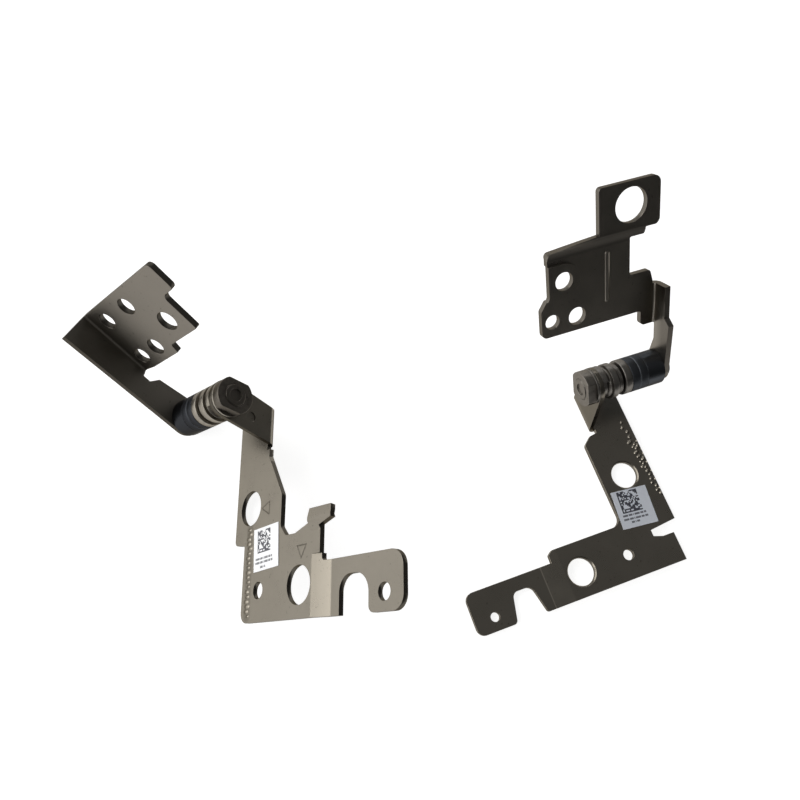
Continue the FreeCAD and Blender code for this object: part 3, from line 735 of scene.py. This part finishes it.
def metal(name, colour, roughness, finish, marks=None):
    """Metal of one colour, with its marks where there are any."""
    material, n, shader, surface, normal = new_metal(name, roughness, finish)
    surface.inputs["Colour"].default_value = (*colour, 1)
    tone = surface.outputs["Colour"]
    if marks:
        light, dark, height = marks(n)
        if light is not None:
            # Light masks are painted highlights, mixed in as a lighter tone of the metal
            highlight_tone = [min(1.0, part * HIGHLIGHT_GAIN) for part in colour]
            tone = n.mix(light, tone, (*highlight_tone, 1))
        if dark is not None:
            # Dark masks are stamped and scribed marks and painted shade, mixed in as a darker tone
            mark_and_shade_tone = [part * MARK_AND_SHADE_GAIN for part in colour]
            tone = n.mix(dark, tone, (*mark_and_shade_tone, 1))
        if height is not None:
            normal = n.bump(height, STAMP_HEIGHT, normal=normal)
    n.link(tone, shader.inputs["Base Color"])
    n.link(normal, shader.inputs["Normal"])
    return material


def shaft_metal(name, axes, blued, turned):
    """Blued on the shoulder, plain turned steel on the neck and its riveted end."""
    material, n, shader, surface, normal = new_metal(name, SHAFT_ROUGHNESS, TURNED)
    along = n.split(n.hinge_place(axes))[0]
    plain = n.math("GREATER_THAN", along, SHOULDER_START)
    n.link(n.mix(plain, (*blued, 1), (*turned, 1)), surface.inputs["Colour"])
    n.link(surface.outputs["Colour"], shader.inputs["Base Color"])
    n.link(normal, shader.inputs["Normal"])
    return material


def label_material(name, label, colour):
    """White label with a block of small squares and three broken bars of print."""
    material, n, shader = new_material(name)
    shader.inputs["Roughness"].default_value = LABEL_ROUGHNESS
    laid = n.add("ShaderNodeMapping", vector_type="TEXTURE")
    n.link(n.hinge_place(label["axes"]), laid.inputs["Vector"])
    laid.inputs["Location"].default_value = (*label["centre"], 0)
    laid.inputs["Rotation"].default_value = (0, 0, math.radians(label["turn"]))
    laid.inputs["Scale"].default_value = (label["across"] * LABEL_SIDE, LABEL_SIDE, LABEL_SIDE)
    parts = n.split(laid.outputs["Vector"])
    u = n.math("ADD", parts[0], 0.5)
    v = n.math("ADD", parts[1], 0.5)
    left, top, side = label["code"]
    cells_per_side = CODE_CELLS / side
    cell_u = n.math("FLOOR", n.times(n.math("SUBTRACT", u, left), cells_per_side))
    cell_v = n.math("FLOOR", n.times(n.math("SUBTRACT", v, top), cells_per_side))
    grid = n.add("ShaderNodeCombineXYZ")
    n.link(cell_u, grid.inputs[0])
    n.link(cell_v, grid.inputs[1])
    dice = n.add("ShaderNodeTexWhiteNoise", noise_dimensions="2D")
    n.link(grid.outputs[0], dice.inputs["Vector"])
    squares = n.math("GREATER_THAN", dice.outputs["Value"], CODE_BLANKS)
    first_column = n.math("LESS_THAN", cell_u, 0.5)
    last_row = n.math("GREATER_THAN", cell_v, CODE_CELLS - 1.5)
    inside = n.times(n.within(u, left, left + side), n.within(v, top, top + side))
    ink = n.times(n.highest(squares, first_column, last_row), inside)
    dash = n.add("ShaderNodeTexWhiteNoise", noise_dimensions="1D")
    n.link(n.math("FLOOR", n.times(u, LINE_DASHES)), dash.inputs["W"])
    dashes = n.math("GREATER_THAN", dash.outputs["Value"], LINE_GAPS)
    for low, start, end in label["lines"]:
        bar = n.times(n.within(v, low, low + LINE_HEIGHT), n.within(u, start, end))
        ink = n.highest(ink, n.times(n.times(bar, dashes), LINE_INK))
    fibre = n.noise(n.add("ShaderNodeTexCoord").outputs["Object"], FIBRE_SCALE)
    shaded = [part * FIBRE_SHADE for part in colour]
    paper = n.mix(fibre, (*shaded, 1), (*colour, 1))
    printed = n.mix(n.times(ink, WHOLE_INK), paper, (*PRINT_COLOUR, 1))
    n.link(printed, shader.inputs["Base Color"])
    return material


def dress(node, material, edge):
    """Gives a CAD node its finish, clean flats and slightly rounded edges."""
    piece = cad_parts[node]
    if not piece.material_slots:
        piece.data.materials.append(material)
    piece.material_slots[0].material = material
    weld = piece.modifiers.new("weld", "WELD")
    weld.merge_threshold = WELD_REACH
    flatten = piece.modifiers.new("flatten", "DECIMATE")
    flatten.decimate_type = "DISSOLVE"
    flatten.angle_limit = FLAT_ANGLE
    smooth = piece.modifiers.new("smooth", "NODES")
    smooth.node_group = smooth_faces
    bevel = piece.modifiers.new("edge_round", "BEVEL")
    bevel.width = edge * MM
    bevel.segments = EDGE_SEGMENTS
    bevel.limit_method = "ANGLE"
    bevel.angle_limit = EDGE_ANGLE
    bevel.use_clamp_overlap = False
    even = piece.modifiers.new("even_shading", "WEIGHTED_NORMAL")
    even.mode = "FACE_AREA"
    even.weight = FLAT_WEIGHT


make_camera()
make_floor()
make_lights()

for bracket, colour, roughness, marks in (
    ("right_base", BASE_COLOUR, BASE_ROUGHNESS, right_base_marks),
    ("left_base", BASE_COLOUR, BASE_ROUGHNESS, left_base_marks),
    ("right_lid", LID_COLOUR, RIGHT_LID_ROUGHNESS, right_lid_marks),
    ("left_lid", LID_COLOUR, LEFT_LID_ROUGHNESS, left_lid_marks),
):
    steel = metal(f"{bracket}_steel", colour, roughness, PLATED, marks)
    dress(f"{bracket}_bracket", steel, BRACKET_EDGES[f"{bracket}_bracket"])

for side, axes, ring_colour, blued_colour, end_colour in (
    ("right", RIGHT_BASE_AXES, RIGHT_RING_COLOUR, RIGHT_BLUED_COLOUR, RIGHT_END_PLATE_COLOUR),
    ("left", LEFT_BASE_AXES, LEFT_RING_COLOUR, LEFT_BLUED_COLOUR, LEFT_END_PLATE_COLOUR),
):
    joint_highlights = disc_joint_marks(axes)
    ring_steel = metal(f"{side}_ring_steel", ring_colour, RING_ROUGHNESS, OILED)
    blued_steel = metal(f"{side}_blued_steel", blued_colour, DISC_ROUGHNESS, BLUED, joint_highlights)
    shaft_steel = shaft_metal(f"{side}_shaft_steel", axes, blued_colour, end_colour)
    end_steel = metal(f"{side}_end_plate_steel", end_colour, END_PLATE_ROUGHNESS, OILED)
    dress(f"{side}_hinge_shaft", shaft_steel, SHAFT_EDGE)
    dress(f"{side}_end_plate", end_steel, END_PLATE_EDGE)
    for piece, edge in RING_EDGES.items():
        dress(f"{side}_{piece}", ring_steel, edge)
    for piece in ("friction_disc_outer", "friction_disc_inner"):
        dress(f"{side}_{piece}", blued_steel, DISC_EDGE)

right_print = label_material("right_label_print", RIGHT_LABEL, RIGHT_LABEL_COLOUR)
left_print = label_material("left_label_print", LEFT_LABEL, LEFT_LABEL_SHADED_COLOUR)
dress("right_bracket_label", right_print, LABEL_EDGE)
dress("left_bracket_label", left_print, LABEL_EDGE)

bpy.context.view_layer.update()
